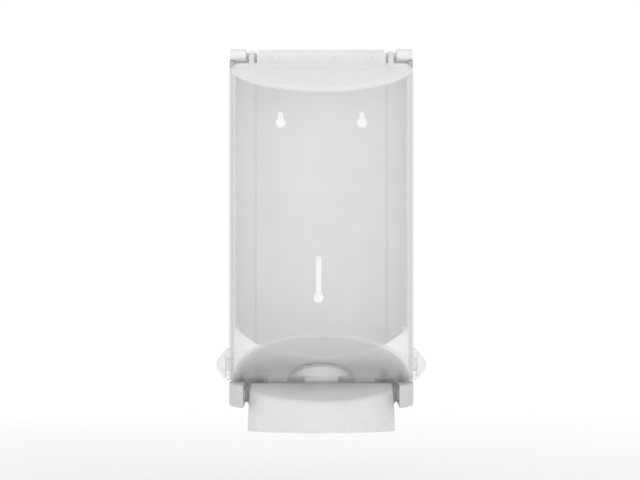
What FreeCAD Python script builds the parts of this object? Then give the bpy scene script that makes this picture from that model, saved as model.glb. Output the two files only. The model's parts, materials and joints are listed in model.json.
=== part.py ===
import FreeCAD, Part
import math
import os

# A wall-mounted push-bar dispenser for bagged liquids: a white back housing, a clear bulged cover
# that lifts on a hinge along the top, and a sprung push bar that squeezes the refill's outlet tube.
#
# Frame, in millimetres: X to the right seen from the front, +Z up, the wall is the plane y = 0 and
# the dispenser stands out towards -Y. The origin is on the wall, midway between the two upper
# keyholes. Places are given as (x, depth, z), where depth is the distance out from the wall and z is
# the height above a datum line a little below the keyholes: save() moves each part down to the
# origin. A pair such as (low, high) is a span along one of these three directions.

# --- Driving dimensions -------------------------------------------------------------------------
# Cover
BODY_HALF_WIDTH = 63.5          # outside
WIDEST_DEPTH = 42.0             # where the plan starts to curve in
BULGE = 63.0                    # how far the front stands beyond that depth
COVER_WALL = 2.2
COVER_REAR = 36.0               # depth of the rear edge
COVER_TOP = 42.5                # height of the sloping top at WIDEST_DEPTH
COVER_BOTTOM = -176.8           # height of the straight lower edge
TOP_SLOPE = 0.352               # fall of the top per unit of depth
BOTTOM_SLOPE = 0.548            # rise of the underside per unit of depth
RIDGE_RADIUS = 7.0              # rounding where the front meets the top and the underside
SCOOP_RADIUS = 24.0             # finger scoop in the lower edge
SCOOP_DEPTH = 38.5              # of its centre
RIM_DEPTH = (42.3, 44.5)        # upright rim along the top
PIP_PLACES = (-33.8, 8.3, 34.5)
PIP_HEIGHT = 45.4
PIP_RADIUS = 2.5
EAR_RADIUS = 10.8
EAR_REAR = 24.0
EAR_X = (63.2, 65.9)

# Back housing
HOUSING_HALF = 62.9             # outside
HOUSING_WALL = 2.3
HOUSING_RIM = 35.5              # depth of the full-width rim
HOUSING_LIP = 41.5              # depth of the lip that enters the cover
HOUSING_TOP = 49.9
LIP_X = (59.2, 60.9)
LIP_TOP = 32.0
PANEL_HALF = 45.7               # recessed middle panel
PANEL_FRONT = 2.5
MARGIN_FRONT = 9.0              # raised margins beside the panel
DRAFT = 1.7                     # lean of the step between them
RIB_SPACING = 32.0              # ribs across the hollow back of the margins

# Wall fixings
KEYHOLE_HEIGHT = 3.9            # of the round entries, above the datum line
KEYHOLE_SPACING = 58.0
KEYHOLE_RADIUS = 3.6            # passes the head of a 3.5 mm pan-head screw
KEYHOLE_SLOT = 1.9              # half the width of the slot that takes the shank
KEYHOLE_RISE = 5.9
LONG_SLOT_X = -1.9
LONG_SLOT_TOP = -92.8
LONG_SLOT_BOTTOM = -120.6

# Cover hinge, an axis along X
HINGE_DEPTH = 38.0
HINGE_HEIGHT = 48.4
HINGE_PIN_RADIUS = 1.5
HINGE_PIN_X = (36.5, 62.5)
CORNER_NOSE = 4.1               # radius of the fixed corner lugs round the axis
RAIL_NOSE = 3.5                 # radius of the fixed middle rail round the axis
LUG_NOSE = 2.8                  # radius of the cover's own lugs
RAIL_HALF = 43.5                # half length of the fixed middle rail
CORNER_LUG_START = 52.0         # the corner lugs run from here out to the side
COVER_LUG_X = (46.2, 49.7)

# Snap studs that hold the cover shut
STUD_DEPTH = 34.0
STUD_HEIGHT = -166.0
STUD_RADIUS = 4.0
STUD_X = (54.2, 66.2)           # shank
STUD_FLANGE = 1.8
STUD_FLANGE_RADIUS = 9.1
DOME_RADIUS = 7.1               # at its base
DOME_HEIGHT = 4.5
CLIP_RADIUS = 7.0

# Lower chassis
SKIRT_OUTER = 3.1               # inset of the skirt's outside from the cover's outside
SKIRT_INNER = 5.1
SKIRT_REAR = 42.5
SWOOP_LOW = -158.8              # lowest point of the skirt's curved upper edge
SWOOP_RADIUS = 98.0
SIDE_PLATE_X = (56.2, 59.0)
CHASSIS_REAR = MARGIN_FRONT + 0.3
FLOOR_Z = (-168.5, -166.0)
FLOOR_HALF = 57.0
BACK_HALF = 44.5                # upright plate that is screwed to the panel
BACK_DEPTH = (2.7, 5.2)
BACK_BOTTOM = -176.5
CHASSIS_SCREWS = ((20.0, -172.4), (38.0, -172.4))
CHASSIS_SCREW_RADIUS = 1.7
BEAM_DEPTH = (24.0, 26.4)       # cross beam under the floor
BEAM_BOTTOM = -190.0
FINGER_X = (40.0, 46.0)         # fingers that the bar rests against
FINGER_Z = (-183.0, -179.3)
FINGER_FRONT = 46.3
LEG_INNER = 52.6
LEG_TOP = -177.6
LEG_BOTTOM = -192.5
LEG_REAR = 30.0
LEG_WALL = 2.3

# Outlet and anvil
COLLAR_DEPTH = 39.0
COLLAR_RADIUS = 22.4
COLLAR_WALL = 2.4
COLLAR_Z = (-172.5, -161.8)
OUTLET_DEPTH = 48.7
OUTLET_RADIUS = 6.0
ANVIL_Z = (-206.0, -173.2)
ANVIL_FACE = (41.0, 44.0)
ANVIL_HALF = 11.5
ANVIL_FLANGE = (BEAM_DEPTH[1], 29.0)
ANVIL_FOOT = -187.0
ANVIL_SCREW_X = 15.5
ANVIL_SCREW_Z = -182.0
ANVIL_SCREW_RADIUS = 1.6

# Push bar, on an axis along X
LEVER_DEPTH = 57.0
LEVER_HEIGHT = -184.7
LEVER_PIN_RADIUS = 2.5
LEVER_PIN_X = (43.6, 58.4)
GROOVE_RADIUS = 1.9
BUSH_RADIUS = 3.9
BAR_TOP_HALF = 48.7
BAR_BOTTOM_HALF = 50.0
BAR_TOP = -177.8
BAR_BOTTOM = -209.0
BAR_ARCH = 0.6                  # rise of the lower edge in the middle
BAR_REAR = 50.0
BAR_SIDE_DEPTH = 63.0
BAR_FRONT = 87.0
BAR_SLOPE = 0.27                # fall of the top per unit of depth
BAR_WALL = 2.2
BAR_RIDGE_RADIUS = 5.0          # rounding where the front meets the sloping top
BAR_EDGE_RADIUS = 2.0           # rounding of the front's upright corners
BAR_SCREWS = [(x, z) for x in (-30.0, 30.0) for z in (-188.0, -201.0)]
BAR_SCREW_RADIUS = 1.5
FRAME_DEPTH = (60.0, 62.4)
FRAME_Z = (-205.5, -185.2)
FRAME_HALF = 40.5

# Roller
ROLLER_DEPTH = 56.0
ROLLER_HEIGHT = -201.0
ROLLER_RADIUS = 4.0
ROLLER_HALF = 12.0
AXLE_RADIUS = 1.5
AXLE_HALF = 16.4
EAR_PLATE_X = (12.6, 15.4)      # the frame's two ears that carry the axle

# Return springs
SPRING_RADIUS = 4.9             # to the middle of the wire
WIRE_RADIUS = 0.55
SPRING_START = 49.85            # x of the wire's middle at the inner end of the coil
SPRING_TURNS = 1.5
SPRING_PITCH = 1.14
SPRING_TAIL = 5.4               # straight length of each end before its bend
SPRING_HOOK = 2.4               # length of the bend

RUNNING = 0.06                  # radial clearance of a running fit
BEYOND = 200.0                  # larger than anything that gets trimmed
ALL = (-BEYOND, BEYOND)
OVER = 1.0                      # how far a cutter runs past the face that it opens


# --- Small helpers ------------------------------------------------------------------------------
def point(x, depth, z):
    """A point from its place to the right, out from the wall, and up."""
    return FreeCAD.Vector(x, -depth, z)


def block(x, depth, z):
    """A box between two values of x, of depth and of height."""
    size = [high - low for low, high in (x, depth, z)]
    return Part.makeBox(*size, point(x[0], depth[1], z[0]))


def rod_x(x, depth, z, radius):
    """A round bar along X."""
    return Part.makeCylinder(radius, x[1] - x[0], point(x[0], depth, z), FreeCAD.Vector(1, 0, 0))


def rod_out(x, depth, z, radius):
    """A round bar that runs out from the wall."""
    return Part.makeCylinder(radius, depth[1] - depth[0], point(x, depth[0], z), FreeCAD.Vector(0, -1, 0))


def rod_up(x, depth, z, radius):
    """A round upright bar."""
    return Part.makeCylinder(radius, z[1] - z[0], point(x, depth, z[0]), FreeCAD.Vector(0, 0, 1))


def grown(span, amount=OVER):
    """A span made longer at both ends."""
    return (span[0] - amount, span[1] + amount)


def mirrored(shape):
    """The same shape on the other side of the middle plane."""
    return shape.mirror(FreeCAD.Vector(0, 0, 0), FreeCAD.Vector(1, 0, 0))


def both_sides(shape):
    """A shape given for the right, fused with its mirror image."""
    return shape.fuse(mirrored(shape))


def middle_of(edge):
    """The point half-way along an edge."""
    return edge.valueAt((edge.FirstParameter + edge.LastParameter) / 2)


def closed_prism(curves, corners, along):
    """Extrude the face between curved edges and the polygon through these corners."""
    edges = [curve.toShape() for curve in curves] + Part.makePolygon(corners).Edges
    return Part.Face(Part.Wire(edges)).extrude(along)


def side_profile(corners, half_length=BEYOND):
    """A prism along X from (depth, height) corners."""
    wire = Part.makePolygon([point(-half_length, d, z) for d, z in corners + corners[:1]])
    return Part.Face(wire).extrude(FreeCAD.Vector(2 * half_length, 0, 0))


# --- Volume of the cover, which the chassis follows too -------------------------------------------
def d_plan(inset, rear, z):
    """Plan prism: straight sides, then half an ellipse at the front."""
    half = BODY_HALF_WIDTH - inset
    front = WIDEST_DEPTH + BULGE - inset
    low = z[0]
    centre = point(0, WIDEST_DEPTH, low)
    ellipse = Part.Ellipse(point(half, WIDEST_DEPTH, low), point(0, front, low), centre)
    corners = [point(-half, WIDEST_DEPTH, low), point(-half, rear, low),
               point(half, rear, low), point(half, WIDEST_DEPTH, low)]
    return closed_prism([Part.ArcOfEllipse(ellipse, 0, math.pi)], corners, FreeCAD.Vector(0, 0, z[1] - low))


def top_height(depth, inset=0.0):
    """Height of the cover's sloping top, or of a surface parallel to it inside."""
    drop = inset * math.hypot(1, TOP_SLOPE)
    return COVER_TOP - drop - TOP_SLOPE * (depth - WIDEST_DEPTH)


def bottom_height(depth, inset=0.0):
    """Height of the cover's sloping underside, or of a surface parallel to it inside."""
    rise = inset * math.hypot(1, BOTTOM_SLOPE)
    return COVER_BOTTOM + rise + BOTTOM_SLOPE * (depth - WIDEST_DEPTH)


def is_ridge(edge, rear, inset):
    """True for an edge that lies on the sloping top or underside, away from the rear face."""
    middle = middle_of(edge)
    depth = -middle.y
    close = 0.01
    on_top = abs(middle.z - top_height(depth, inset)) < close
    on_underside = abs(middle.z - bottom_height(depth, inset)) < close
    return depth > rear + close and (on_top or on_underside)


def cover_volume(inset, rear):
    """The space inside a surface that lies this far in from the cover's outside."""
    front = WIDEST_DEPTH + BULGE + OVER
    slopes = side_profile([(rear, top_height(rear, inset)), (front, top_height(front, inset)),
                           (front, bottom_height(front, inset)), (rear, bottom_height(rear, inset))])
    body = d_plan(inset, rear, ALL).common(slopes)
    ridges = [edge for edge in body.Edges if is_ridge(edge, rear, inset)]
    return body.makeFillet(RIDGE_RADIUS - inset, ridges)


# --- Back housing and what is fixed to it ---------------------------------------------------------
def keyhole(x, z_entry, z_top):
    """Cutter: a round entry with a narrower slot above it."""
    depth = (-OVER, PANEL_FRONT + OVER)
    entry = rod_out(x, depth, z_entry, KEYHOLE_RADIUS)
    slot = block((x - KEYHOLE_SLOT, x + KEYHOLE_SLOT), depth, (z_entry, z_top))
    return entry.fuse([slot, rod_out(x, depth, z_top, KEYHOLE_SLOT)])


def housing_section():
    """Right half of the housing's plan outline: hollow margin, side wall, lip, then the panel's step."""
    hollow = MARGIN_FRONT - HOUSING_WALL
    hollow_inner = PANEL_HALF + HOUSING_WALL
    hollow_outer = HOUSING_HALF - HOUSING_WALL
    return [(hollow_inner, 0), (hollow_inner + DRAFT, hollow), (hollow_outer, hollow), (hollow_outer, 0),
            (HOUSING_HALF, 0), (HOUSING_HALF, HOUSING_RIM), (LIP_X[1], HOUSING_RIM), (LIP_X[1], HOUSING_LIP),
            (LIP_X[0], HOUSING_LIP), (LIP_X[0], MARGIN_FRONT), (PANEL_HALF + DRAFT, MARGIN_FRONT),
            (PANEL_HALF, PANEL_FRONT)]


def margin_ribs():
    """Thin ribs across the hollow back of the right margin."""
    rib = 1.6
    x = (PANEL_HALF + OVER, HOUSING_HALF - OVER)
    depth = (0, MARGIN_FRONT - OVER)
    count = int((HOUSING_TOP - COVER_BOTTOM) / RIB_SPACING)
    lows = [COVER_BOTTOM + RIB_SPACING * number for number in range(1, count + 1)]
    ribs = [block(x, depth, (low, low + rib)) for low in [COVER_BOTTOM] + lows]
    return ribs[0].fuse(ribs[1:])


def hinge_notch():
    """Cutter: the gap in the top edge in which one of the cover's lugs swings."""
    reach = 8
    return block((RAIL_HALF, CORNER_LUG_START), (29, 60), (HINGE_HEIGHT - reach, HINGE_HEIGHT + reach))


def rounded_rail(x, rear, nose):
    """A rail along X whose front is round about the hinge axis."""
    return block(x, (rear, HINGE_DEPTH), (HINGE_HEIGHT - nose, HINGE_HEIGHT + nose)).fuse(
        rod_x(x, HINGE_DEPTH, HINGE_HEIGHT, nose))


def stud_hole():
    """Cutter: the hole that a snap stud's shank fills."""
    return rod_x((50, 70), STUD_DEPTH, STUD_HEIGHT, STUD_RADIUS)


def chassis_screw_places():
    """Where the chassis is screwed to the back panel."""
    return [(side * x, z) for side in (-1, 1) for x, z in CHASSIS_SCREWS]


def chassis_screw_holes():
    """Cutter for the four screws that hold the chassis."""
    holes = [rod_out(x, (-1, 10), z, CHASSIS_SCREW_RADIUS) for x, z in chassis_screw_places()]
    return holes[0].fuse(holes[1:])


def back_housing():
    """Back panel with raised margins, side walls, top wall, hinge rail and keyholes."""
    right = housing_section()
    left = [(-x, depth) for x, depth in reversed(right)]
    outline = [point(x, depth, COVER_BOTTOM) for x, depth in right + left]
    section = Part.Face(Part.makePolygon(outline + outline[:1]))
    shape = section.extrude(FreeCAD.Vector(0, 0, HOUSING_TOP - COVER_BOTTOM))
    top_wall = block((-HOUSING_HALF, HOUSING_HALF), (0, 33), (HOUSING_TOP - HOUSING_WALL, HOUSING_TOP))
    shape = shape.fuse([top_wall, both_sides(margin_ribs())])
    shape = shape.cut(both_sides(hinge_notch()))
    for z in ((LIP_TOP, BEYOND), (-BEYOND, COVER_BOTTOM + 9)):
        shape = shape.cut(both_sides(block((LIP_X[0] - OVER, BEYOND), (HOUSING_RIM, BEYOND), z)))
    middle_rail = rounded_rail((-RAIL_HALF, RAIL_HALF), 29, RAIL_NOSE)
    corner_lug = rounded_rail((CORNER_LUG_START, HOUSING_HALF), 27, CORNER_NOSE)
    shape = shape.fuse([middle_rail, both_sides(corner_lug)])
    pin_hole = rod_x((HINGE_PIN_X[0], BEYOND), HINGE_DEPTH, HINGE_HEIGHT, HINGE_PIN_RADIUS)
    shape = shape.cut([both_sides(pin_hole), both_sides(stud_hole()), chassis_screw_holes()])
    half_spacing = KEYHOLE_SPACING / 2
    rise = (KEYHOLE_HEIGHT, KEYHOLE_HEIGHT + KEYHOLE_RISE)
    return shape.cut([keyhole(-half_spacing, *rise), keyhole(half_spacing, *rise),
                      keyhole(LONG_SLOT_X, LONG_SLOT_BOTTOM, LONG_SLOT_TOP)])


def cover_hinge_pin():
    """Steel pin through the corner lug and the cover's lug into the rail."""
    return rod_x(HINGE_PIN_X, HINGE_DEPTH, HINGE_HEIGHT, HINGE_PIN_RADIUS)


def cover_bumper():
    """Rubber buffer under the corner lug, where the cover's shoulder closes."""
    top = HINGE_HEIGHT - CORNER_NOSE
    height = 4.7
    return block((60.2, 63.3), (35.6, 41.0), (top - height, top))


def snap_stud():
    """Domed stud: shank through the housing and chassis, flange over the cover's ear, dome outside."""
    flange = (STUD_X[1], STUD_X[1] + STUD_FLANGE)
    sphere_radius = (DOME_RADIUS ** 2 + DOME_HEIGHT ** 2) / (2 * DOME_HEIGHT)
    centre = point(flange[1] + DOME_HEIGHT - sphere_radius, STUD_DEPTH, STUD_HEIGHT)
    outside = rod_x((flange[1], BEYOND), STUD_DEPTH, STUD_HEIGHT, DOME_RADIUS)
    dome = Part.makeSphere(sphere_radius, centre).common(outside)
    shank = rod_x(STUD_X, STUD_DEPTH, STUD_HEIGHT, STUD_RADIUS)
    return shank.fuse([rod_x(flange, STUD_DEPTH, STUD_HEIGHT, STUD_FLANGE_RADIUS), dome])


def stud_clip():
    """Push-on washer that keeps the stud's inner end."""
    ring = rod_x((54.9, 56.0), STUD_DEPTH, STUD_HEIGHT, CLIP_RADIUS)
    return ring.cut(stud_hole())


# --- Lower chassis --------------------------------------------------------------------------------
def swoop_cutter():
    """Everything above the skirt's edge, which dips in the middle as a round arc."""
    centre = SWOOP_LOW + SWOOP_RADIUS
    return rod_out(0, ALL, centre, SWOOP_RADIUS).fuse(block(ALL, ALL, (centre, BEYOND)))


def leg():
    """Right leg: a box open below, whose front wall follows the cover's plan."""
    z = (LEG_BOTTOM, LEG_TOP)
    inset, lid = 0.1, 2.0
    outer = d_plan(inset, LEG_REAR, z)
    space = d_plan(inset + LEG_WALL, LEG_REAR + LEG_WALL, (z[0] - OVER, z[1] - lid))
    outside = block((LEG_INNER, BEYOND), (0, BEYOND), grown(z))
    room = block((LEG_INNER + LEG_WALL, BEYOND), (0, BEYOND), grown(z))
    return outer.common(outside).cut(space.common(room))


def skirt():
    """Curved wall just inside the cover's lower end, cut to a dipping arc above."""
    wall = cover_volume(SKIRT_OUTER, SKIRT_REAR).cut(cover_volume(SKIRT_INNER, SKIRT_REAR - 10))
    return wall.cut(swoop_cutter())


def side_plate():
    """Right side plate, from the skirt down to the leg."""
    inside_cover = cover_volume(SKIRT_OUTER, 0)
    upper = block(SIDE_PLATE_X, (CHASSIS_REAR, 45), (COVER_BOTTOM, -100)).common(inside_cover)
    lower = block(SIDE_PLATE_X, (CHASSIS_REAR, COVER_REAR - 0.5), (LEG_BOTTOM, FLOOR_Z[0]))
    return upper.cut(swoop_cutter()).fuse(lower)


def chassis_cutters():
    """What is cut from the chassis: collar seat, stud, bush, hook and screw holes, tube window."""
    clip_room = rod_x((50, SIDE_PLATE_X[0]), STUD_DEPTH, STUD_HEIGHT, CLIP_RADIUS + 0.5)
    bush_hole = rod_x((50, 56), LEVER_DEPTH, LEVER_HEIGHT, BUSH_RADIUS)
    sides = [stud_hole(), clip_room, bush_hole, spring_hook_hole(LEVER_DEPTH - SPRING_RADIUS)]
    window = block((-11, 11), grown(BEAM_DEPTH), (-180, -172))
    seat = rod_up(0, COLLAR_DEPTH, (COLLAR_Z[0] - 0.5, -155), COLLAR_RADIUS + 0.2)
    middle = [window, seat, chassis_screw_holes(), anvil_screw_holes()]
    return [both_sides(cutter) for cutter in sides] + middle


def lower_chassis():
    """Skirt inside the cover's lower end, floor, cross beam and the two legs."""
    finger = block(FINGER_X, (BEAM_DEPTH[0], FINGER_FRONT), FINGER_Z)
    floor = block((-FLOOR_HALF, FLOOR_HALF), (CHASSIS_REAR, 51), FLOOR_Z)
    floor_rear = block((-BACK_HALF, BACK_HALF), (BACK_DEPTH[0], CHASSIS_REAR + OVER), FLOOR_Z)
    back = block((-BACK_HALF, BACK_HALF), BACK_DEPTH, (BACK_BOTTOM, FLOOR_Z[1]))
    beam = block((-FLOOR_HALF, FLOOR_HALF), BEAM_DEPTH, (BEAM_BOTTOM, FLOOR_Z[1]))
    right = side_plate().fuse([leg(), finger])
    return skirt().fuse([both_sides(right), floor, floor_rear, back, beam]).cut(chassis_cutters())


def chassis_screws():
    """Four pan-head screws, one solid each."""
    screws = []
    for x, z in chassis_screw_places():
        shank = rod_out(x, (0.4, 5.3), z, CHASSIS_SCREW_RADIUS)
        head = rod_out(x, (BACK_DEPTH[1], 7.2), z, 3.2)
        recess = rod_out(x, (6.2, 7.5), z, 1.2)
        screws.append(shank.fuse(head).cut(recess))
    return Part.makeCompound(screws)


def outlet_collar():
    """Cup in the floor that takes the refill's neck, with a hole for its tube and a flange behind."""
    bore = COLLAR_RADIUS - COLLAR_WALL
    flange_z = (FLOOR_Z[1], FLOOR_Z[1] + 2)
    cup = rod_up(0, COLLAR_DEPTH, COLLAR_Z, COLLAR_RADIUS)
    cup = cup.cut(rod_up(0, COLLAR_DEPTH, (COLLAR_Z[0] + COLLAR_WALL, 0), bore))
    flange = rod_up(0, COLLAR_DEPTH, flange_z, COLLAR_RADIUS + 4)
    flange = flange.cut(rod_up(0, COLLAR_DEPTH, (-180, 0), bore))
    flange = flange.common(block((-40, 40), (0, COLLAR_DEPTH), COLLAR_Z))
    outlet = rod_up(0, OUTLET_DEPTH, (-180, 0), OUTLET_RADIUS)
    under_skirt = cover_volume(SKIRT_OUTER + 0.4, 0)
    below = block((-40, 40), (0, 70), (-180, -164.5))
    return cup.fuse(flange).cut(outlet).common(under_skirt.fuse(below))


# --- Anvil and stops --------------------------------------------------------------------------------
def anvil_screw_holes():
    """Cutter for the two screws that hold the anvil."""
    return both_sides(rod_out(ANVIL_SCREW_X, (20, 30), ANVIL_SCREW_Z, ANVIL_SCREW_RADIUS))


def anvil_block():
    """Bracket on the cross beam with an upright face that backs the outlet tube."""
    bottom, top = ANVIL_Z
    rear, front = ANVIL_FLANGE[1], ANVIL_FACE[0]
    flange = block((-19, 19), ANVIL_FLANGE, (ANVIL_FOOT, top))
    face = block((-ANVIL_HALF, ANVIL_HALF), ANVIL_FACE, ANVIL_Z)
    rib = side_profile([(rear, top), (front, top), (front, bottom), (rear, ANVIL_FOOT)], 1.3)
    ribs = [rib.translated(FreeCAD.Vector(x, 0, 0)) for x in (-8, 8)]
    return flange.fuse([face] + ribs).cut(anvil_screw_holes())


def anvil_screws():
    """Two screws from behind the beam into the anvil bracket."""
    shank = rod_out(ANVIL_SCREW_X, (BEAM_DEPTH[0], 28.9), ANVIL_SCREW_Z, ANVIL_SCREW_RADIUS)
    head = rod_out(ANVIL_SCREW_X, (22, BEAM_DEPTH[0]), ANVIL_SCREW_Z, 3.0)
    screw = shank.fuse(head)
    return Part.makeCompound([screw, mirrored(screw)])


def anvil_pad():
    """Soft face on the anvil."""
    return block((-11, 11), (ANVIL_FACE[1], ANVIL_FACE[1] + 1.5), (-205.5, -186))


def stop_pads():
    """Rubber tips on the two fingers: the bar's top edge rests on them."""
    pad = block(FINGER_X, (FINGER_FRONT, BAR_REAR - 0.1), (FINGER_Z[0], BAR_TOP - 0.4))
    return Part.makeCompound([pad, mirrored(pad)])


# --- Push bar ---------------------------------------------------------------------------------------
def bar_front_view(inset, bottom, top):
    """Prism of the bar's front outline: a trapezium whose lower edge arches up slightly."""
    half_top, half_bottom = BAR_TOP_HALF - inset, BAR_BOTTOM_HALF - inset
    middle = point(0, 0, bottom + BAR_ARCH)
    arch = Part.Arc(point(half_bottom, 0, bottom), middle, point(-half_bottom, 0, bottom))
    corners = [point(-half_bottom, 0, bottom), point(-half_top, 0, top),
               point(half_top, 0, top), point(half_bottom, 0, bottom)]
    return closed_prism([arch], corners, FreeCAD.Vector(0, -BEYOND, 0))


def bar_plan(inset, rear):
    """Prism of the bar's plan: straight behind, one arc in front."""
    wide, low = BAR_BOTTOM_HALF + OVER, -250
    side, front = BAR_SIDE_DEPTH - inset, BAR_FRONT - inset
    curve = Part.Arc(point(wide, side, low), point(0, front, low), point(-wide, side, low))
    corners = [point(-wide, side, low), point(-wide, rear, low),
               point(wide, rear, low), point(wide, side, low)]
    return closed_prism([curve], corners, FreeCAD.Vector(0, 0, BEYOND))


def bar_volume(inset, rear, bottom):
    """The bar's outer form, or the space this far inside it."""
    top = BAR_TOP - inset * math.hypot(1, BAR_SLOPE)
    front = BAR_FRONT + OVER
    low = bottom - OVER
    slope = side_profile([(rear, top), (BAR_REAR, top), (front, top - BAR_SLOPE * (front - BAR_REAR)),
                          (front, low), (rear, low)])
    return bar_front_view(inset, bottom, top).common(bar_plan(inset, rear)).common(slope)


def is_bar_ridge(edge):
    """True for the edge between the bar's front and its sloping top."""
    middle = middle_of(edge)
    return abs(middle.x) < 1 and -middle.y > BAR_SIDE_DEPTH and middle.z > (BAR_TOP + BAR_BOTTOM) / 2


def is_bar_corner(edge):
    """True for an upright edge where the bar's front meets one of its sides."""
    middle = middle_of(edge)
    upright = edge.tangentAt(edge.FirstParameter).z ** 2 > 0.9
    return upright and abs(middle.x) > BAR_TOP_HALF - 1 and -middle.y > BAR_SIDE_DEPTH


def push_bar_shell():
    """Outer skin of the push bar: convex front, sloping top, open behind and below."""
    outer = bar_volume(0, BAR_REAR, BAR_BOTTOM)
    outer = outer.makeFillet(BAR_RIDGE_RADIUS, [edge for edge in outer.Edges if is_bar_ridge(edge)])
    outer = outer.makeFillet(BAR_EDGE_RADIUS, [edge for edge in outer.Edges if is_bar_corner(edge)])
    inner = bar_volume(BAR_WALL, BAR_REAR - 20, BAR_BOTTOM - 20)
    inner_ridge = [edge for edge in inner.Edges if is_bar_ridge(edge)]
    inner = inner.makeFillet(BAR_RIDGE_RADIUS - BAR_WALL, inner_ridge)
    shape = outer.cut(inner)
    screw_room = bar_volume(BAR_WALL - 0.4, BAR_REAR, BAR_BOTTOM + 1)
    for x, z in BAR_SCREWS:
        boss = rod_out(x, (FRAME_DEPTH[1], 80), z, 3.4).common(screw_room)
        shape = shape.fuse(boss).cut(rod_out(x, (60, 71), z, BAR_SCREW_RADIUS))
    boss = rod_x((LEVER_PIN_X[0] - 1.6, 47.5), LEVER_DEPTH, LEVER_HEIGHT, 5.2)
    shape = shape.fuse(both_sides(boss.common(bar_volume(0.2, BAR_REAR, -220))))
    pin_hole = rod_x((LEVER_PIN_X[0], 60), LEVER_DEPTH, LEVER_HEIGHT, LEVER_PIN_RADIUS)
    return shape.cut([both_sides(pin_hole), both_sides(spring_hook_hole(LEVER_DEPTH + SPRING_RADIUS))])


def push_bar_frame():
    """Inner plate that stiffens the bar and carries the roller between two ears."""
    ear_radius = 4.5
    plate = block((-FRAME_HALF, FRAME_HALF), FRAME_DEPTH, FRAME_Z)
    window = block((-11, 11), grown(FRAME_DEPTH), (-204, -196))
    ear_z = (ROLLER_HEIGHT - ear_radius, ROLLER_HEIGHT + 6)
    ear = block(EAR_PLATE_X, (ROLLER_DEPTH, FRAME_DEPTH[0] + OVER), ear_z)
    ear = ear.fuse(rod_x(EAR_PLATE_X, ROLLER_DEPTH, ROLLER_HEIGHT, ear_radius))
    rib = block((FRAME_HALF - 2.4, FRAME_HALF), (54, FRAME_DEPTH[0]), (-203, -190))
    shape = plate.cut(window).fuse(both_sides(ear.fuse(rib)))
    screw_holes = [rod_out(x, grown(FRAME_DEPTH), z, BAR_SCREW_RADIUS + 0.1) for x, z in BAR_SCREWS]
    return shape.cut(screw_holes + [rod_x((-20, 20), ROLLER_DEPTH, ROLLER_HEIGHT, AXLE_RADIUS)])


def bar_screws():
    """Four screws that join the bar's frame to its shell."""
    rear = FRAME_DEPTH[0]
    screws = []
    for x, z in BAR_SCREWS:
        shank = rod_out(x, (rear, 70.5), z, BAR_SCREW_RADIUS)
        screws.append(shank.fuse(rod_out(x, (rear - 1.9, rear), z, 3.0)))
    return Part.makeCompound(screws)


def roller_axle():
    """Pin pressed into the frame's two ears."""
    return rod_x((-AXLE_HALF, AXLE_HALF), ROLLER_DEPTH, ROLLER_HEIGHT, AXLE_RADIUS)


def squeeze_roller():
    """Roller with rounded rims that pinches the tube against the anvil."""
    body = rod_x((-ROLLER_HALF, ROLLER_HALF), ROLLER_DEPTH, ROLLER_HEIGHT, ROLLER_RADIUS)
    rims = [edge for edge in body.Edges if edge.isClosed()]
    bore = rod_x((-20, 20), ROLLER_DEPTH, ROLLER_HEIGHT, AXLE_RADIUS + RUNNING)
    return body.makeFillet(0.6, rims).cut(bore)


# --- Push bar pivots and springs, right side -----------------------------------------------------------
def lever_rod(x, radius):
    """A round bar on the push bar's axis."""
    return rod_x(x, LEVER_DEPTH, LEVER_HEIGHT, radius)


def lever_pin():
    """Steel pin pressed into the bar; it turns in the bush and has a clip's groove at its outer end."""
    groove = (56.6, 57.4)
    ring = lever_rod(groove, LEVER_PIN_RADIUS + OVER).cut(lever_rod(groove, GROOVE_RADIUS))
    return lever_rod(LEVER_PIN_X, LEVER_PIN_RADIUS).cut(ring)


def lever_bush():
    """Flanged bush fixed in the leg; its spigot carries the spring."""
    face = LEG_INNER + LEG_WALL
    spigot = lever_rod((49.2, face), BUSH_RADIUS)
    flange = lever_rod((face, face + 1.5), BUSH_RADIUS + 1)
    return spigot.fuse(flange).cut(lever_rod((45, 60), LEVER_PIN_RADIUS + RUNNING))


def pin_clip():
    """Open retaining clip in the pin's groove, outside the bush."""
    x = (56.7, 57.3)
    half_mouth = 1.5
    mouth = block(x, (LEVER_DEPTH - half_mouth, LEVER_DEPTH + half_mouth), (LEVER_HEIGHT - 6, LEVER_HEIGHT))
    return lever_rod(x, BUSH_RADIUS + 0.4).cut(lever_rod(x, GROOVE_RADIUS)).cut(mouth)


def spring_hook_hole(depth):
    """Cutter: the hole that takes a spring's bent end."""
    return rod_x((44, 56), depth, LEVER_HEIGHT - SPRING_TAIL, WIRE_RADIUS + 0.3)


def spring_end(x, depth, bend_x):
    """Straight wire down from the coil, then a bend along X over this span."""
    low = LEVER_HEIGHT - SPRING_TAIL
    down = rod_up(x, depth, (low, LEVER_HEIGHT), WIRE_RADIUS)
    knee = Part.makeSphere(WIRE_RADIUS, point(x, depth, low))
    return down.fuse([knee, rod_x(bend_x, depth, low, WIRE_RADIUS)])


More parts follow.
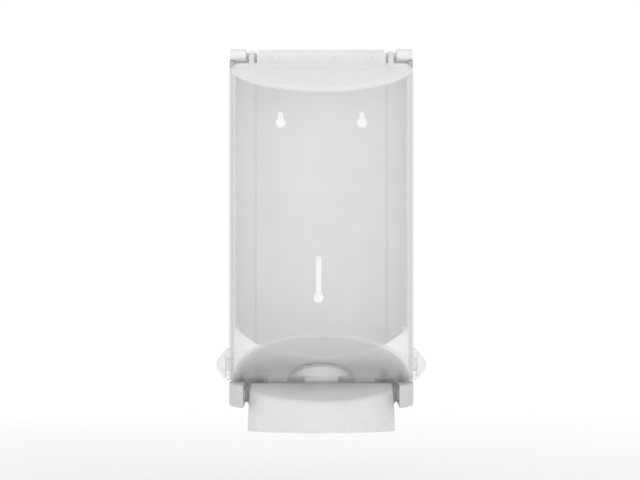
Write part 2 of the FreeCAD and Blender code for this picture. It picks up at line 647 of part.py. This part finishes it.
def return_spring():
    """Torsion spring: a short coil, hooked into the bar in front and into the leg behind."""
    length = SPRING_TURNS * SPRING_PITCH
    finish = SPRING_START + length
    origin = FreeCAD.Vector(0, 0, 0)
    helix = Part.makeHelix(SPRING_PITCH, length, SPRING_RADIUS)
    circle = Part.Circle(FreeCAD.Vector(SPRING_RADIUS, 0, 0), FreeCAD.Vector(0, 1, 0), WIRE_RADIUS)
    coil = Part.Wire(helix.Edges).makePipeShell([Part.Wire(circle.toShape())], True, True)
    coil.rotate(origin, FreeCAD.Vector(0, 1, 0), 90)
    coil.rotate(origin, FreeCAD.Vector(1, 0, 0), 90)
    coil = mirrored(coil)
    coil.translate(point(finish, LEVER_DEPTH, LEVER_HEIGHT))
    front = spring_end(SPRING_START, LEVER_DEPTH + SPRING_RADIUS, (SPRING_START - SPRING_HOOK, SPRING_START))
    rear = spring_end(finish, LEVER_DEPTH - SPRING_RADIUS, (finish, finish + SPRING_HOOK))
    return coil.fuse([front, rear])


# --- Cover ------------------------------------------------------------------------------------------
def cover_ear():
    """Ear on the cover's side that snaps over the stud."""
    low, high = STUD_HEIGHT - EAR_RADIUS, STUD_HEIGHT + EAR_RADIUS
    ear = rod_x(EAR_X, STUD_DEPTH, STUD_HEIGHT, EAR_RADIUS)
    return ear.fuse(block(EAR_X, (EAR_REAR, STUD_DEPTH), (low, high)))


def ear_slot():
    """Cutter: the open slot through the ear and the cover's side."""
    x = (61, 70)
    half = STUD_RADIUS + 0.6
    slot = block(x, (0, STUD_DEPTH), (STUD_HEIGHT - half, STUD_HEIGHT + half))
    return slot.fuse(rod_x(x, STUD_DEPTH, STUD_HEIGHT, half))


def cover_lug():
    """Lug on the cover's top that turns on a hinge pin."""
    front = 45
    web = block(COVER_LUG_X, (HINGE_DEPTH, front), (39.5, HINGE_HEIGHT - 1))
    foot = block(COVER_LUG_X, (front, 47), (39.5, top_height(front)))
    return web.fuse([foot, rod_x(COVER_LUG_X, HINGE_DEPTH, HINGE_HEIGHT, LUG_NOSE)])


def top_rim():
    """Upright rim that closes the gap in front of the housing's middle rail, with three round pips."""
    half = RAIL_HALF + 0.8
    shape = block((-half, half), RIM_DEPTH, (top_height(44, 1.5), HINGE_HEIGHT + 0.9))
    proud, bowl = 0.9, 0.8
    for x in PIP_PLACES:
        pip = rod_out(x, (RIM_DEPTH[0] + 0.5, RIM_DEPTH[1] + proud), PIP_HEIGHT, PIP_RADIUS)
        hollow = rod_out(x, (RIM_DEPTH[1] - bowl, RIM_DEPTH[1] + 2), PIP_HEIGHT, PIP_RADIUS - 1.2)
        shape = shape.fuse(pip).cut(hollow)
    return shape


def cover_cutters():
    """What is cut from the cover: hinge bores, ear slots, finger scoop and two lower notches."""
    bore = rod_x((44, 51), HINGE_DEPTH, HINGE_HEIGHT, HINGE_PIN_RADIUS + RUNNING)
    notch = block((37, 50), (30, 45.8), (-180, -170))
    scoop = rod_up(0, SCOOP_DEPTH, (-190, -150), SCOOP_RADIUS)
    return [both_sides(bore), both_sides(ear_slot()), both_sides(notch), scoop]


def front_cover():
    """Clear cover: bulged shell, upright top rim, hinge lugs, ears, scoop and lower notches."""
    shape = cover_volume(0, COVER_REAR).cut(cover_volume(COVER_WALL, COVER_REAR - 20))
    below = block(ALL, ALL, (COVER_BOTTOM - BEYOND, COVER_BOTTOM))
    behind_top = block(ALL, (0, RIM_DEPTH[0]), (38.0, 60))
    shape = shape.cut([below, behind_top])
    shape = shape.fuse([top_rim(), both_sides(cover_lug().fuse(cover_ear()))])
    return shape.cut(cover_cutters())


# --- Output -----------------------------------------------------------------------------------------
SINGLE = [back_housing, lower_chassis, outlet_collar, anvil_block, anvil_pad, anvil_screws, chassis_screws,
          stop_pads, push_bar_shell, push_bar_frame, bar_screws, roller_axle, squeeze_roller, front_cover]
RIGHT_AND_LEFT = [cover_hinge_pin, cover_bumper, snap_stud, stud_clip, lever_pin, lever_bush, pin_clip,
                  return_spring]


def save(name, shape):
    """Move a part down to the origin, join up its split faces and write it as one node."""
    placed = shape.translated(FreeCAD.Vector(0, 0, -KEYHOLE_HEIGHT))
    placed.removeSplitter().exportStep("parts/" + name + ".step")


os.makedirs("parts", exist_ok=True)
for build in SINGLE:
    save(build.__name__, build())
for build in RIGHT_AND_LEFT:
    right_piece = build()
    save(build.__name__ + "_right", right_piece)
    save(build.__name__ + "_left", mirrored(right_piece))
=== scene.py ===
import json
import math

import bmesh
import bpy
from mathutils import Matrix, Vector


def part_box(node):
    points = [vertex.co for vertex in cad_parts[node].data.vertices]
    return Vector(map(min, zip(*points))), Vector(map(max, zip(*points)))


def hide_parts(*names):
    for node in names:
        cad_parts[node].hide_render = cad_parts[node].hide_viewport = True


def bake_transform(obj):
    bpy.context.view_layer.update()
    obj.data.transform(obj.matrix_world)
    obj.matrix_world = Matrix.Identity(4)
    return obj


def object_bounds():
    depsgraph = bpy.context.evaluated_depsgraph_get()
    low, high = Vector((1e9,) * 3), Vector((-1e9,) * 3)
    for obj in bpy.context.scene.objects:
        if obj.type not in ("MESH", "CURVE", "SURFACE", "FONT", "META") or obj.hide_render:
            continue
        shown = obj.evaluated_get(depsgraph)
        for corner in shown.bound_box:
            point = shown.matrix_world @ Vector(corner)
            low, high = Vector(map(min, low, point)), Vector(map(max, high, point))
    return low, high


# A wall-mounted push-bar dispenser with a clear bulged cover, in metres.
# +X is to the right seen from the front, the wall is the plane y = 0, and +Z is up.

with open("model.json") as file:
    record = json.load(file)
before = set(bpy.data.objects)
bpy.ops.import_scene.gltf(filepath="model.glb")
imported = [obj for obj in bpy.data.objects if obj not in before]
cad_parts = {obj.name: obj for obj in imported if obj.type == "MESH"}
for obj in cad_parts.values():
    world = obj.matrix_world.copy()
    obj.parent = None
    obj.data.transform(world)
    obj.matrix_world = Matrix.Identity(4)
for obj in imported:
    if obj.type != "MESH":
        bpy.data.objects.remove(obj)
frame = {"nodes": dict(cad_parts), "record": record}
CAD_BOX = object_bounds()
NODES = frame["nodes"]
MM = 0.001


# --- Node helpers ---------------------------------------------------------------------------------
def new_material(name):
    """An empty node material with its output."""
    material = bpy.data.materials.new(name)
    material.use_nodes = True
    tree = material.node_tree
    tree.nodes.clear()
    output = tree.nodes.new("ShaderNodeOutputMaterial")
    return material, tree, output


def feed(tree, socket, value):
    """Link a socket into an input, or set the input to a plain value."""
    if isinstance(value, bpy.types.NodeSocket):
        tree.links.new(value, socket)
    else:
        socket.default_value = value


def add(tree, kind, **inputs):
    """A node of this kind; its inputs are set, or linked where a socket is given."""
    node = tree.nodes.new("ShaderNode" + kind)
    for name, value in inputs.items():
        feed(tree, node.inputs[name.replace("_", " ")], value)
    return node


def place(tree, stretch=(1, 1, 1)):
    """The object's own coordinates in metres, stretched."""
    coordinates = add(tree, "TexCoord")
    mapping = add(tree, "Mapping", Vector=coordinates.outputs["Object"], Scale=stretch)
    return mapping.outputs["Vector"]


def noise(tree, scale, detail=2.0, stretch=(1, 1, 1)):
    """Noise from 0 to 1, at this many features per metre."""
    texture = add(tree, "TexNoise", Vector=place(tree, stretch), Scale=scale, Detail=detail)
    return texture.outputs["Fac"]


def spread(tree, value, low, high, from_low=0.0, from_high=1.0):
    """A value mapped from one range to another, and kept inside it."""
    node = add(tree, "MapRange", Value=value)
    node.inputs["From Min"].default_value = from_low
    node.inputs["From Max"].default_value = from_high
    node.inputs["To Min"].default_value = low
    node.inputs["To Max"].default_value = high
    return node.outputs["Result"]


def maths(tree, operation, first, second=0.0):
    """One arithmetic step."""
    node = tree.nodes.new("ShaderNodeMath")
    node.operation = operation
    for socket, value in zip(node.inputs, (first, second)):
        feed(tree, socket, value)
    return node.outputs["Value"]


def plus(tree, first, second):
    """The sum of two values."""
    return maths(tree, "ADD", first, second)


def times(tree, first, second):
    """The product of two values."""
    return maths(tree, "MULTIPLY", first, second)


def vector_maths(tree, operation, *vectors):
    """One step on vectors that gives a plain value."""
    node = tree.nodes.new("ShaderNodeVectorMath")
    node.operation = operation
    for socket, vector in zip(node.inputs, vectors):
        tree.links.new(vector, socket)
    return node.outputs["Value"]


def blend_colour(tree, factor, first, second):
    """A mix of two colours."""
    node = tree.nodes.new("ShaderNodeMix")
    node.data_type = "RGBA"
    colours = [value if isinstance(value, bpy.types.NodeSocket) else (*value, 1.0)
               for value in (first, second)]
    for socket, value in zip((node.inputs[0], node.inputs[6], node.inputs[7]), (factor, *colours)):
        feed(tree, socket, value)
    return node.outputs[2]


def mix_shaders(tree, factor, first, second):
    """A mix of two shaders: the first at factor 0, the second at factor 1."""
    node = add(tree, "MixShader", Fac=factor)
    tree.links.new(first.outputs[0], node.inputs[1])
    tree.links.new(second.outputs[0], node.inputs[2])
    return node


def shade(colour, factor):
    """A colour made darker or lighter."""
    return tuple(min(1.0, channel * factor) for channel in colour)


def grey(level):
    """A neutral colour."""
    return (level, level, level)


def bump(tree, height, strength, distance, normal=None):
    """A bumped normal."""
    node = add(tree, "Bump", Height=height, Strength=strength, Distance=distance)
    if normal is not None:
        tree.links.new(normal, node.inputs["Normal"])
    return node.outputs["Normal"]


# --- Masks ----------------------------------------------------------------------------------------
def convex_mask(tree):
    """1 on the rounded outer edges of a finely meshed solid, 0 elsewhere."""
    return spread(tree, add(tree, "NewGeometry").outputs["Pointiness"], 0.0, 1.0, 0.52, 0.58)


def edge_mask(tree, radius):
    """1 on sharp edges, 0 on flat faces, and the normal rounded over this radius."""
    soft = add(tree, "Bevel", Radius=radius)
    soft.samples = 4
    sharp = add(tree, "NewGeometry")
    likeness = vector_maths(tree, "DOT_PRODUCT", soft.outputs["Normal"], sharp.outputs["Normal"])
    mask = spread(tree, likeness, 1.0, 0.0, 0.80, 0.995)
    return mask, soft.outputs["Normal"]


def turning_mask(tree, lean_in_middle, reach):
    """1 where a surface leans by this much as it turns from upright to level, fading to 0 either side."""
    own_normal = add(tree, "TexCoord").outputs["Normal"]
    lean = add(tree, "SeparateXYZ", Vector=own_normal).outputs["Z"]
    from_middle = maths(tree, "ABSOLUTE", maths(tree, "SUBTRACT", lean, lean_in_middle))
    return spread(tree, from_middle, 1.0, 0.0, reach / 2, reach)


def height_mask(tree, low, high):
    """0 below a height in metres and 1 above another, in the object's own frame."""
    height = add(tree, "SeparateXYZ", Vector=add(tree, "TexCoord").outputs["Object"]).outputs["Z"]
    return spread(tree, height, 0.0, 1.0, low, high)


# --- Materials ------------------------------------------------------------------------------------
GRAIN = 2600.0                  # features per metre of the moulded texture
MOTTLED = 0.945                 # how dark the painted shade on the legs below the cover gets, as a share of the colour
STREAKED = 0.97
PAINTED_SHADE = 0.64                  # the same for the part that is greyed by handling
PAINTED_SHADE_FADE = 2.0 * MM
RUBBED = 1.06                   # how light rubbed edges get
MOST_WEAR = 0.5
WORN_ROUGHNESS = 0.15
MILK_COLOUR = (0.97, 0.975, 0.975, 1.0)
RIM_FADE = 1.5 * MM


def moulded_plastic(name, colour, roughness, grain=GRAIN, shade_below=None, rounded=False):
    """Opaque moulded plastic: faint mottling, fine spark-eroded texture and rubbed edges.
    Below the height it is given, it turns greyer: painted shade for the legs, which stand in shade below
    the cover. A rounded solid needs no softened edges."""
    material, tree, output = new_material(name)
    cloudy = spread(tree, noise(tree, 35.0, 4.0), 0.0, 1.0, 0.3, 0.7)
    streaks = spread(tree, noise(tree, 60.0, 2.0, (1, 1, 0.12)), 0.0, 0.35, 0.45, 0.75)
    base = blend_colour(tree, cloudy, shade(colour, MOTTLED), colour)
    base = blend_colour(tree, streaks, base, shade(colour, STREAKED))
    # Painted shade: below the given height the colour turns greyer, in place of the shade that falls on
    # the legs.
    if shade_below is not None:
        painted_shade_mask = height_mask(tree, shade_below, shade_below - PAINTED_SHADE_FADE)
        base = blend_colour(tree, painted_shade_mask, base, shade(colour, PAINTED_SHADE))
    edges, soft = (convex_mask(tree), None) if rounded else edge_mask(tree, 0.5 * MM)
    wear = spread(tree, noise(tree, 260.0, 3.0), 0.0, MOST_WEAR, 0.45, 0.7)
    scuff = times(tree, edges, wear)
    base = blend_colour(tree, scuff, base, shade(colour, RUBBED))
    rough = spread(tree, noise(tree, 420.0, 3.0), roughness - 0.06, roughness + 0.07, 0.3, 0.7)
    rough = plus(tree, rough, times(tree, scuff, WORN_ROUGHNESS))
    texture = bump(tree, noise(tree, grain, 2.0), 0.08, 0.02 * MM, soft)
    shader = add(tree, "BsdfPrincipled", Base_Color=base, Roughness=rough, Normal=texture, IOR=1.5)
    tree.links.new(shader.outputs["BSDF"], output.inputs["Surface"])
    return material


def milk_amount(tree, haze, edge_on, edges, sheen_and_top_haze, rim, rim_height):
    """How milky clear plastic is: more where it is seen edge-on, on its edges and rim and on its level
    top; the milk on the ridges is a painted sheen where they catch the light.
    """
    # Painted sheen: the upper and lower ridge fillets get extra milk so that they read as bright bands of
    # reflected light.
    lower_ridge_sheen = times(tree, turning_mask(tree, -0.6, 0.12), 0.4)
    ridge_sheen = plus(tree, turning_mask(tree, 0.68, 0.24), lower_ridge_sheen)
    level_edge = turning_mask(tree, 0.96, 0.14)
    above_rim = height_mask(tree, rim_height, rim_height + RIM_FADE)
    scratches = noise(tree, 90.0, 6.0, (1, 1, 0.05))
    cloud = noise(tree, 28.0, 3.0)
    amount = plus(tree, haze, times(tree, maths(tree, "POWER", edge_on, 4.0), 0.3))
    for mask, weight in ((edges, 0.25), (ridge_sheen, sheen_and_top_haze), (above_rim, rim), (level_edge, sheen_and_top_haze)):
        amount = plus(tree, amount, times(tree, mask, weight))
    amount = plus(tree, amount, spread(tree, scratches, 0.0, 0.02, 0.55, 0.8))
    return times(tree, amount, spread(tree, cloud, 0.96, 1.04, 0.3, 0.7))


def clear_plastic(name, haze, tint, roughness, sheen_and_top_haze=0.0, rim=0.0, rim_height=0.0):
    """Clear moulded plastic: see-through from the front, milky where it is seen edge-on, fine scratches.
    The rim above rim_height is milkier still, and so are the ridges, as painted sheen where they catch the
    light."""
    material, tree, output = new_material(name)
    edges, soft = edge_mask(tree, 0.45 * MM)
    edge_on = add(tree, "LayerWeight", Blend=0.5).outputs["Facing"]
    amount = milk_amount(tree, haze, edge_on, edges, sheen_and_top_haze, rim, rim_height)
    through = add(tree, "BsdfTransparent", Color=(*tint, 1.0))
    milk_body = add(tree, "BsdfDiffuse", Color=MILK_COLOUR, Normal=soft)
    milk_glow = add(tree, "BsdfTranslucent", Color=MILK_COLOUR, Normal=soft)
    body = mix_shaders(tree, amount, through, mix_shaders(tree, 0.5, milk_body, milk_glow))
    surface = bump(tree, noise(tree, 900.0, 2.0), 0.04, 0.03 * MM, soft)
    rough = spread(tree, noise(tree, 300.0, 3.0), roughness, roughness + 0.08, 0.3, 0.7)
    shine = add(tree, "BsdfGlossy", Roughness=rough, Normal=surface)
    grazing = times(tree, maths(tree, "POWER", edge_on, 5.0), 0.6)
    front_face = maths(tree, "SUBTRACT", 1.0, add(tree, "NewGeometry").outputs["Backfacing"])
    mirror = times(tree, plus(tree, grazing, 0.04), front_face)
    both = mix_shaders(tree, mirror, body, shine)
    tree.links.new(both.outputs[0], output.inputs["Surface"])
    return material


def metal(name, colour, roughness, brush_scale, brush_stretch):
    """Bare or plated metal with drawn lines and bright edges."""
    material, tree, output = new_material(name)
    lines = noise(tree, brush_scale, 4.0, brush_stretch)
    patches = spread(tree, noise(tree, 240.0, 3.0), 0.0, 1.0, 0.3, 0.7)
    base = blend_colour(tree, patches, shade(colour, 0.86), colour)
    edges, soft = edge_mask(tree, 0.2 * MM)
    base = blend_colour(tree, times(tree, edges, 0.5), base, shade(colour, 1.3))
    rough = spread(tree, lines, roughness - 0.08, roughness + 0.12, 0.3, 0.7)
    texture = bump(tree, lines, 0.15, 0.02 * MM, soft)
    shader = add(tree, "BsdfPrincipled", Base_Color=base, Metallic=1.0, Roughness=rough, Normal=texture)
    tree.links.new(shader.outputs["BSDF"], output.inputs["Surface"])
    return material


def soft_rubber(name, colour):
    """Matt elastomer with a pebbled skin."""
    material, tree, output = new_material(name)
    pebbles = add(tree, "TexVoronoi", Vector=place(tree), Scale=1500.0).outputs["Distance"]
    dust = noise(tree, 180.0, 4.0)
    base = blend_colour(tree, spread(tree, dust, 0.0, 1.0, 0.35, 0.7), colour, shade(colour, 1.12))
    edges, soft = edge_mask(tree, 0.4 * MM)
    base = blend_colour(tree, times(tree, edges, 0.4), base, shade(colour, 0.8))
    texture = bump(tree, pebbles, 0.25, 0.06 * MM, soft)
    rough = spread(tree, dust, 0.72, 0.9, 0.3, 0.7)
    shader = add(tree, "BsdfPrincipled", Base_Color=base, Roughness=rough, Normal=texture)
    tree.links.new(shader.outputs["BSDF"], output.inputs["Surface"])
    return material


RIM_BAND = 13.5 * MM            # height of the cover's milky rim, from the top of the object down
SHADED_BAND = 1.5 * MM          # how far above the cover's lower edge the painted shade on the chassis starts

FINISHES = {
    "white_housing": moulded_plastic("white_housing", grey(0.77), 0.42),
    # Its grey is lighter than the housing's: painted light that lifts the shaded skirt under the cover.
    "white_chassis": moulded_plastic("white_chassis", grey(0.93), 0.40,
                                     # painted shade on the legs, from just above the cover's lower edge
                                     # downwards
                                     shade_below=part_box("front_cover")[0].z + SHADED_BAND),
    "white_bar": moulded_plastic("white_bar", grey(0.69), 0.36, grain=3400.0, rounded=True),
    "grey_collar": moulded_plastic("grey_collar", (0.62, 0.63, 0.64), 0.5),
    "clear_cover": clear_plastic("clear_cover", 0.17, (0.989, 0.990, 0.990), 0.05,
                                 # painted sheen on the cover's ridges; the same weight sets the haze of
                                 # its level top
                                 sheen_and_top_haze=0.42, rim=0.5, rim_height=CAD_BOX[1].z - RIM_BAND),
    "stud_plastic": clear_plastic("stud_plastic", 0.35, grey(0.97), 0.08),
    "bush_plastic": moulded_plastic("bush_plastic", (0.74, 0.74, 0.71), 0.38),
    "soft_rubber": soft_rubber("soft_rubber", (0.40, 0.41, 0.42)),
    "steel": metal("steel", (0.78, 0.78, 0.79), 0.38, 500.0, (0.05, 1, 1)),
    "spring_steel": metal("spring_steel", (0.62, 0.62, 0.63), 0.37, 900.0, (1, 0.2, 0.2)),
}


def dress_cad_nodes():
    """Give every CAD node the material of its slot."""
    for part in frame["record"]["subparts"]:
        node = NODES[part["node"]]
        node.data.materials.clear()
        node.data.materials.append(FINISHES[part["material_slot"]])


# --- Return springs -------------------------------------------------------------------------------
WIRE_RADIUS = 0.55 * MM
WIRE_SIDES = 14
COIL_TURNS = 1.5
STEPS_PER_TURN = 40
HOOK_LENGTH = 2.4 * MM
BEND_STEPS = 6


def rounded_corner(before, corner, after, radius):
    """Points of a quarter bend that joins two straight runs at right angles."""
    start = corner + (before - corner).normalized() * radius
    end = corner + (after - corner).normalized() * radius
    centre = start + end - corner
    points = []
    for step in range(BEND_STEPS + 1):
        angle = math.radians(90) * step / BEND_STEPS
        points.append(centre + (start - centre) * math.cos(angle) + (end - centre) * math.sin(angle))
    return points


def spring_path(low, high):
    """Middle line of the right spring inside its box: hook, leg up, coil, leg down, hook."""
    radius = (high.y - low.y) / 2 - WIRE_RADIUS
    axis_y = (high.y + low.y) / 2
    axis_z = high.z - WIRE_RADIUS - radius
    foot = low.z + WIRE_RADIUS
    first_x, last_x = low.x + HOOK_LENGTH, high.x - HOOK_LENGTH
    front, rear = axis_y - radius, axis_y + radius
    bend = 2 * WIRE_RADIUS
    path = [Vector((low.x, front, foot))]
    path += rounded_corner(path[0], Vector((first_x, front, foot)), Vector((first_x, front, axis_z)), bend)
    steps = int(COIL_TURNS * STEPS_PER_TURN)
    for step in range(steps + 1):
        angle = 2 * math.pi * COIL_TURNS * step / steps
        x = first_x + (last_x - first_x) * step / steps
        path.append(Vector((x, axis_y - radius * math.cos(angle), axis_z + radius * math.sin(angle))))
    end = Vector((high.x, rear, foot))
    path += rounded_corner(Vector((last_x, rear, axis_z)), Vector((last_x, rear, foot)), end, bend)
    return path + [end]


def wire_ring(mesh, centre, across, other, radius, sides):
    """One ring of points round a wire's middle line."""
    ring = []
    for side in range(sides):
        angle = 2 * math.pi * side / sides
        outward = across * math.cos(angle) + other * math.sin(angle)
        ring.append(mesh.verts.new(centre + outward * radius))
    return ring


def swept_wire(name, path, radius, sides):
    """A round wire along a path, with closed ends, as one mesh."""
    mesh = bmesh.new()
    rings = []
    across = Vector((0, 0, 1))
    for number, centre in enumerate(path):
        ahead = path[min(number + 1, len(path) - 1)]
        behind = path[max(number - 1, 0)]
        along = (ahead - behind).normalized()
        across = (across - along * across.dot(along)).normalized()
        rings.append(wire_ring(mesh, centre, across, along.cross(across), radius, sides))
    for one, two in zip(rings, rings[1:]):
        for side in range(sides):
            after = (side + 1) % sides
            mesh.faces.new((one[side], one[after], two[after], two[side]))
    mesh.faces.new(list(reversed(rings[0])))
    mesh.faces.new(rings[-1])
    for face in mesh.faces:
        face.smooth = len(face.verts) == 4
    data = bpy.data.meshes.new(name)
    mesh.to_mesh(data)
    mesh.free()
    wire = bpy.data.objects.new(name, data)
    bpy.context.scene.collection.objects.link(wire)
    return wire


def make_springs():
    """Both return springs as wire meshes, rear hook at the housing and front hook at the bar, in place of
    the hidden CAD springs.
    """
    low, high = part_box("return_spring_right")
    for side, sign in (("right", 1), ("left", -1)):
        path = [Vector((sign * p.x, p.y, p.z)) for p in spring_path(low, high)]
        if sign < 0:
            path.reverse()
        wire = swept_wire("spring_wire_" + side, path, WIRE_RADIUS, WIRE_SIDES)
        wire.data.materials.append(FINISHES["spring_steel"])
        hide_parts("return_spring_" + side)
        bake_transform(wire)


# --- Stage ----------------------------------------------------------------------------------------
FLOOR_DROP = 0.09               # below the object
FLOOR_HALF = 3.0
FLOOR_FADE = (0.45, 1.1)        # distances from the middle where the fade starts and ends
SKY_BELOW, SKY_ABOVE = 0.82, 0.80
LENS = 106.0                    # focal length and sensor width in millimetres
SENSOR_WIDTH = 36.0
RIM_DEPTH = 0.042               # the cover's rim, the plane that the camera's distance counts from
CAMERA_DISTANCE = 1.3
CAMERA_LEFT, CAMERA_DOWN = 0.0009, 0.0013

# Each light's name, place from the object's centre, width and power.
LIGHTS = (
    ("key", (0.2, -1.35, 0.8), 0.9, 4.2),
    ("front", (0.1, -1.5, -0.15), 0.8, 3.2),
    ("fill_left", (-1.1, -0.8, 0.0), 0.9, 1.8),
    ("fill_right", (1.1, -0.8, 0.0), 0.9, 1.2),
    ("back", (0.3, 1.1, 0.7), 0.8, 1.6),
)


def floor_material():
    """Pale matt floor that turns clear away from the middle."""
    material, tree, output = new_material("floor")
    from_middle = vector_maths(tree, "LENGTH", add(tree, "TexCoord").outputs["Object"])
    fade = spread(tree, from_middle, 0.0, 1.0, *FLOOR_FADE)
    mottling = spread(tree, noise(tree, 4.0, 3.0), 0.0, 1.0, 0.3, 0.7)
    matt = add(tree, "BsdfDiffuse", Color=blend_colour(tree, mottling, grey(0.94), grey(0.96)))
    both = mix_shaders(tree, fade, matt, add(tree, "BsdfTransparent"))
    tree.links.new(both.outputs[0], output.inputs["Surface"])
    return material


def make_floor():
    """Pale floor a little below the object; it fades out into the white surround."""
    level = CAD_BOX[0].z - FLOOR_DROP
    half = FLOOR_HALF
    mesh = bpy.data.meshes.new("floor")
    corners = [(-half, -half, level), (half, -half, level), (half, half, level), (-half, half, level)]
    mesh.from_pydata(corners, [], [(0, 1, 2, 3)])
    mesh.materials.append(floor_material())
    floor = bpy.data.objects.new("floor", mesh)
    bpy.context.scene.collection.objects.link(floor)


def make_world():
    """White surround for the camera, and a soft, nearly even light for the object."""
    world = bpy.data.worlds.new("studio")
    bpy.context.scene.world = world
    world.use_nodes = True
    tree = world.node_tree
    tree.nodes.clear()
    output = tree.nodes.new("ShaderNodeOutputWorld")
    direction = add(tree, "TexCoord").outputs["Generated"]
    height = add(tree, "SeparateXYZ", Vector=direction).outputs["Z"]
    level = spread(tree, height, SKY_BELOW, SKY_ABOVE, -0.7, 0.8)
    soft = add(tree, "Background", Color=(1, 1, 1, 1), Strength=level)
    white = add(tree, "Background", Color=(1, 1, 1, 1), Strength=1.0)
    both = mix_shaders(tree, add(tree, "LightPath").outputs["Is Camera Ray"], soft, white)
    tree.links.new(both.outputs[0], output.inputs["Surface"])


def add_light(name, place_at, aim, size, power):
    """A square area light that points at a place and leaves no streak in the cover."""
    data = bpy.data.lights.new(name, "AREA")
    data.shape = "SQUARE"
    data.size = size
    data.energy = power
    light = bpy.data.objects.new(name, data)
    light.location = place_at
    light.rotation_euler = (aim - place_at).to_track_quat("-Z", "Y").to_euler()
    light.visible_glossy = False
    bpy.context.scene.collection.objects.link(light)


def make_lights():
    """A big light above and in front, one straight ahead, a fill at each side and one behind."""
    centre = (CAD_BOX[0] + CAD_BOX[1]) / 2
    for name, from_centre, size, power in LIGHTS:
        add_light(name, centre + Vector(from_centre), centre, size, power)


def make_camera():
    """Level camera in front of the middle of the object, as in a catalogue picture."""
    low, high = CAD_BOX
    middle = (low.z + high.z) / 2
    data = bpy.data.cameras.new("camera")
    data.lens = LENS
    data.sensor_width = SENSOR_WIDTH
    camera = bpy.data.objects.new("camera", data)
    camera.location = (-CAMERA_LEFT, -(CAMERA_DISTANCE + RIM_DEPTH), middle - CAMERA_DOWN)
    camera.rotation_euler = (math.radians(90), 0, 0)
    bpy.context.scene.collection.objects.link(camera)
    bpy.context.scene.camera = camera


dress_cad_nodes()
make_springs()
make_floor()
make_world()
make_lights()
make_camera()
bpy.context.scene.view_settings.view_transform = "Standard"
